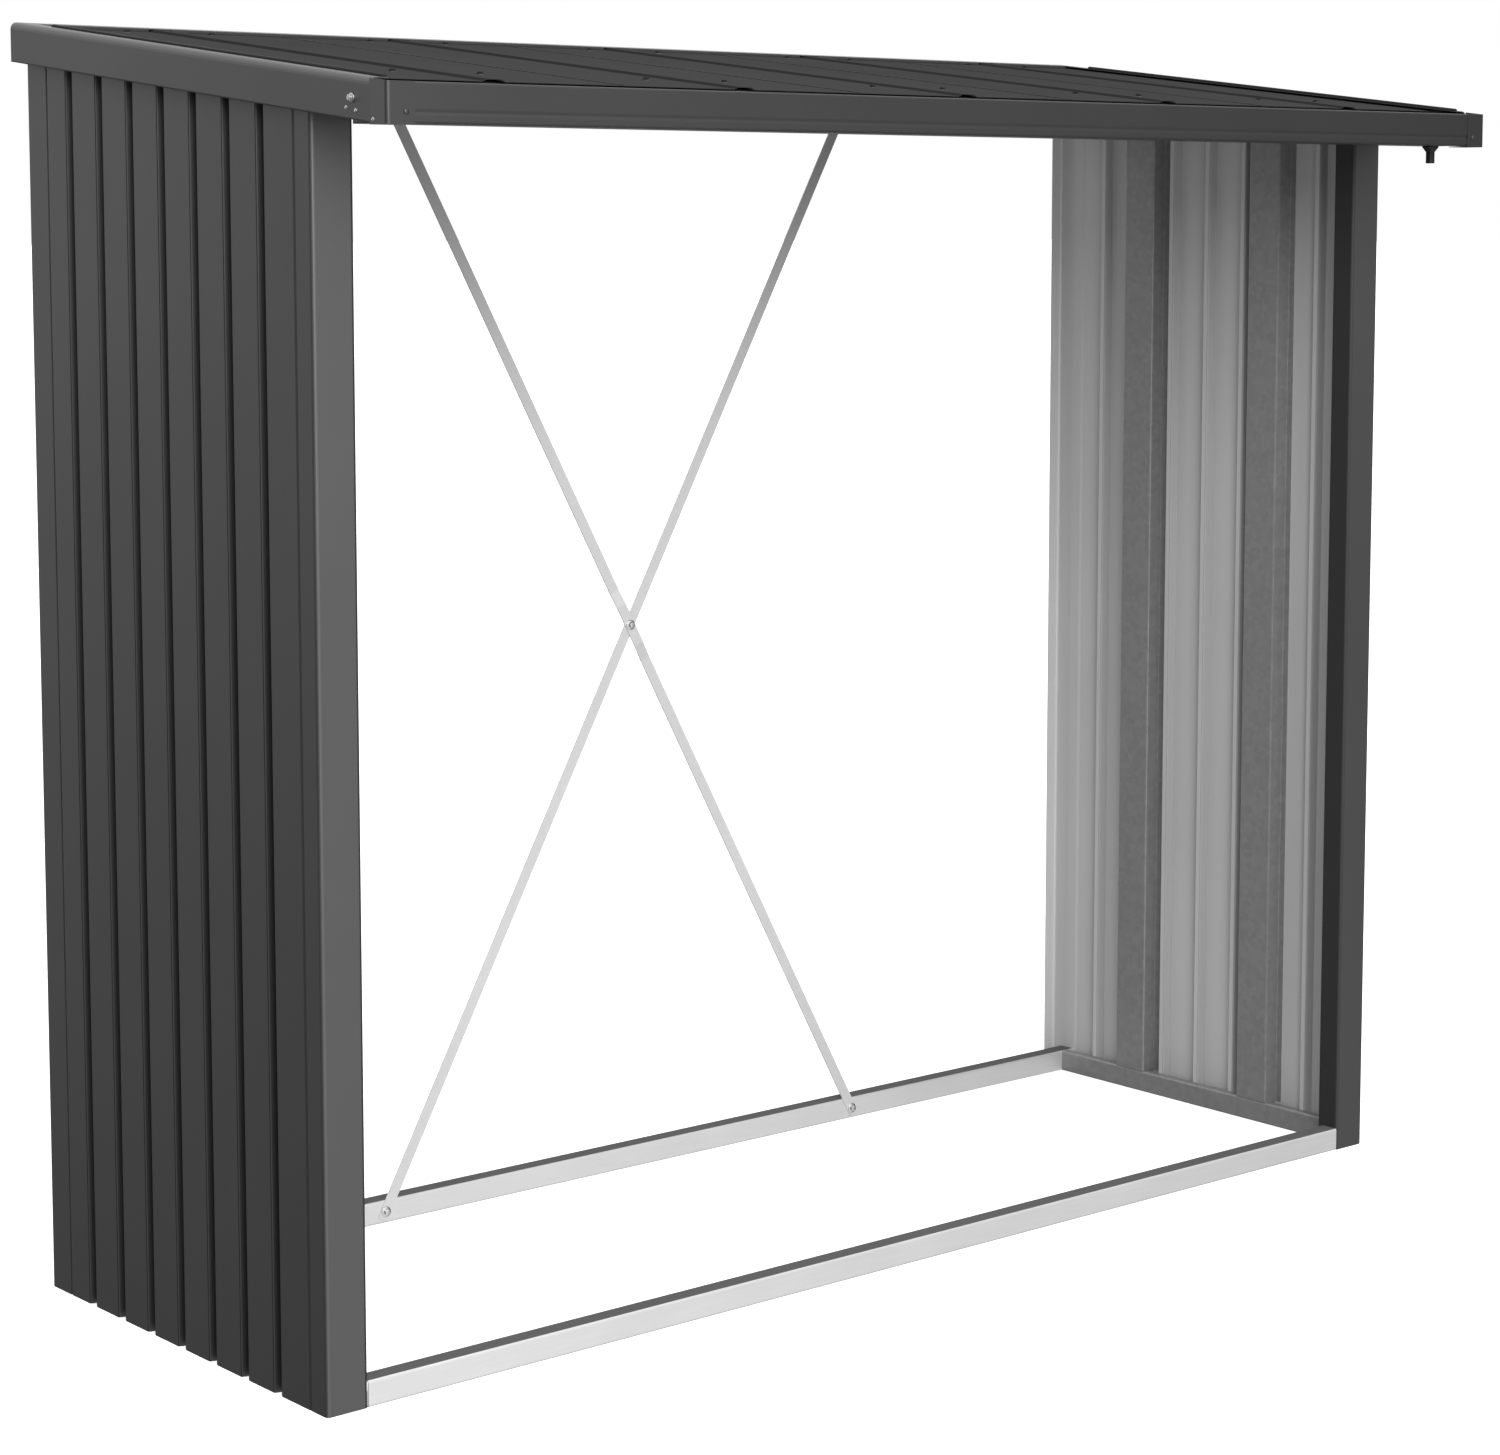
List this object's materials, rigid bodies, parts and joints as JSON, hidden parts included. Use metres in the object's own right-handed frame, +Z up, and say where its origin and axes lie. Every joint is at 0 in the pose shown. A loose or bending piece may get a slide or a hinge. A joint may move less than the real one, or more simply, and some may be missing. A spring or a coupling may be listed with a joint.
{
  "type": "log store",
  "caption": "Free-standing log store of folded sheet steel: grooved side walls, open front and back, a roof that falls to a front gutter, floor rails and a crossed rear brace.",
  "frame": {"origin": "on the ground, under the middle of the roof's box", "axes": "+X along the roof's width to the right as seen from the open front, +Y from the front to the back, +Z up"},
  "size_m": [2.29, 1.02, 1.99],
  "materials": {
    "dark_grey_coat": "dark grey metallic coat on galvanised steel sheet, satin",
    "light_grey_coat": "light grey back coat on galvanised steel sheet, satin",
    "bare_metal": "bare mill-finish metal, satin",
    "black_plastic": "moulded black plastic, matt"
  },
  "bodies": {
    "root": {"front_floor_rail": "bare_metal", "rear_floor_rail": "bare_metal", "left_floor_rail": "bare_metal", "right_floor_rail": "bare_metal", "front_left_post": "dark_grey_coat", "front_right_post": "dark_grey_coat", "rear_left_post": "dark_grey_coat", "rear_right_post": "dark_grey_coat", "left_wall_sheet": "dark_grey_coat", "right_wall_sheet": "dark_grey_coat", "left_front_upright": "light_grey_coat", "left_rear_upright": "light_grey_coat", "right_front_upright": "light_grey_coat", "right_rear_upright": "light_grey_coat", "left_wall_top_rail": "light_grey_coat", "right_wall_top_rail": "light_grey_coat", "front_top_beam": "light_grey_coat", "rear_top_beam": "light_grey_coat", "gutter_face": "dark_grey_coat", "gutter_floor": "dark_grey_coat", "gutter_back_wall": "dark_grey_coat", "left_gutter_cap": "dark_grey_coat", "right_gutter_cap": "dark_grey_coat", "gutter_spigot": "black_plastic", "left_roof_fascia": "dark_grey_coat", "right_roof_fascia": "dark_grey_coat", "rear_roof_fascia": "dark_grey_coat", "roof_sheet_1": "dark_grey_coat", "roof_sheet_2": "dark_grey_coat", "roof_sheet_3": "dark_grey_coat", "roof_sheet_4": "dark_grey_coat", "roof_sheet_5": "dark_grey_coat", "rising_brace_strap": "bare_metal", "falling_brace_strap": "bare_metal"}
  },
  "joints": []
}
